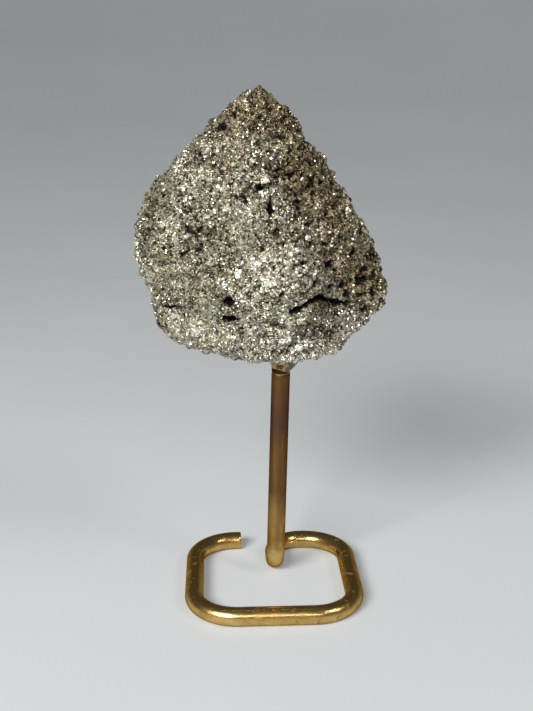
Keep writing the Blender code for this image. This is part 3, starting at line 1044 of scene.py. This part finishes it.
def build_floor(settings):
    """A table top that sweeps up into a low wall all round.

    Its profile is level and then a quarter ellipse, turned about the object.
    """
    bend = np.radians(np.linspace(0.0, 90.0, 48))
    rings = 12
    out = np.concatenate(
        [np.linspace(0.0, FLOOR_LEVEL, rings), FLOOR_BEND_START + FLOOR_BEND * np.sin(bend)])
    up = np.concatenate([np.zeros(rings), FLOOR_WALL - FLOOR_WALL * np.cos(bend)])
    turn = np.linspace(0.0, 2 * np.pi, 96, endpoint=False)
    points = np.stack([np.outer(out, np.cos(turn)), np.outer(out, np.sin(turn)),
                       np.outer(up, np.ones(turn.size))], axis=-1)
    index = np.arange(out.size * turn.size).reshape(out.size, turn.size)
    around = np.roll(index, -1, axis=1)
    quads = np.stack([index[:-1], index[1:], around[1:], around[:-1]], axis=-1).reshape(-1, 4)
    floor = surface("table_top", points.reshape(-1, 3), quads, smooth=True)
    floor.data.materials.append(floor_finish(settings))


def add_light(name, power, width, height, turn, lift, reach, tint):
    """A soft light seen from the stone at a turn and lift in degrees and a reach in mm."""
    light = bpy.data.lights.new(name, "AREA")
    light.shape = "RECTANGLE"
    light.energy = power
    light.size = width * MM
    light.size_y = height * MM
    light.color = tint
    light.spread = np.radians(110.0)
    made = bpy.data.objects.new(name, light)
    bpy.context.scene.collection.objects.link(made)
    way = Vector(direction(turn, lift))
    made.location = Vector((BASE_CENTRE + LIGHT_AIM) * MM) + way * (reach * MM)
    made.rotation_euler = way.to_track_quat("Z", "Y").to_euler()


def build_lights(settings):
    """A window to the left of the front, a long strip above the front, and a small side light."""
    for name, power, width, height, turn, lift, reach, tint in (
        ("window_light", settings.key_power, 700.0, 360.0, -34.0, 32.0, 1250.0, (1.0, 0.99, 0.96)),
        ("strip_light", settings.strip_power, 900.0, 80.0, 2.0, 29.0, 1250.0, (1.0, 1.0, 1.0)),
        ("side_light", settings.side_power, 220.0, 220.0, 55.0, 40.0, 800.0, (1.0, 0.95, 0.88)),
    ):
        add_light(name, power, width, height, turn, lift, reach, tint)
    world = bpy.data.worlds.new("room")
    world.use_nodes = True
    background = world.node_tree.nodes["Background"].inputs
    background["Color"].default_value = (0.95, 0.97, 1.0, 1.0)
    background["Strength"].default_value = settings.room
    bpy.context.scene.world = world
    bpy.context.scene.view_settings.view_transform = "Standard"


def build_camera():
    """A camera in front of the stone, looking a little down on it."""
    camera = bpy.data.cameras.new("camera")
    camera.sensor_fit = "AUTO"
    camera.sensor_width = 36.0
    camera.lens = CAMERA_LENS
    camera.clip_start = 0.01
    made = bpy.data.objects.new("camera", camera)
    bpy.context.scene.collection.objects.link(made)
    made.location = (BASE_CENTRE + CAMERA_PLACE) * MM
    made.rotation_euler = np.radians(CAMERA_TURN)
    bpy.context.scene.camera = made


class PYRITE_PT_panel(bpy.types.Panel):
    """Lists the pieces in the sidebar"""
    bl_label = "Pyrite on a stand"
    bl_idname = "PYRITE_PT_panel"
    bl_space_type = "VIEW_3D"
    bl_region_type = "UI"
    bl_category = "Pyrite"

    def draw(self, context):
        groups = (
            ("pyrite_stone", (PYRITE_OT_mass, PYRITE_OT_crystals)),
            ("pyrite_stand", (PYRITE_OT_rod, PYRITE_OT_putty)),
            ("pyrite_studio", (PYRITE_OT_studio,)),
        )
        for group, operators in groups:
            settings = getattr(context.scene, group)
            for name in settings.__annotations__:
                self.layout.prop(settings, name)
            for operator in operators:
                self.layout.operator(operator.bl_idname)


CLASSES = (StoneSettings, StandSettings, StudioSettings, PYRITE_OT_mass, PYRITE_OT_crystals,
           PYRITE_OT_rod, PYRITE_OT_putty, PYRITE_OT_studio, PYRITE_PT_panel)


def register():
    for item in CLASSES:
        bpy.utils.register_class(item)
    bpy.types.Scene.pyrite_stone = PointerProperty(type=StoneSettings)
    bpy.types.Scene.pyrite_stand = PointerProperty(type=StandSettings)
    bpy.types.Scene.pyrite_studio = PointerProperty(type=StudioSettings)


def unregister():
    del bpy.types.Scene.pyrite_studio
    del bpy.types.Scene.pyrite_stand
    del bpy.types.Scene.pyrite_stone
    for item in reversed(CLASSES):
        bpy.utils.unregister_class(item)


def main():
    register()
    bpy.ops.pyrite.mass()
    bpy.ops.pyrite.crystals()
    bpy.ops.pyrite.rod()
    bpy.ops.pyrite.putty()
    bpy.ops.pyrite.studio()


if __name__ == "__main__":
    main()
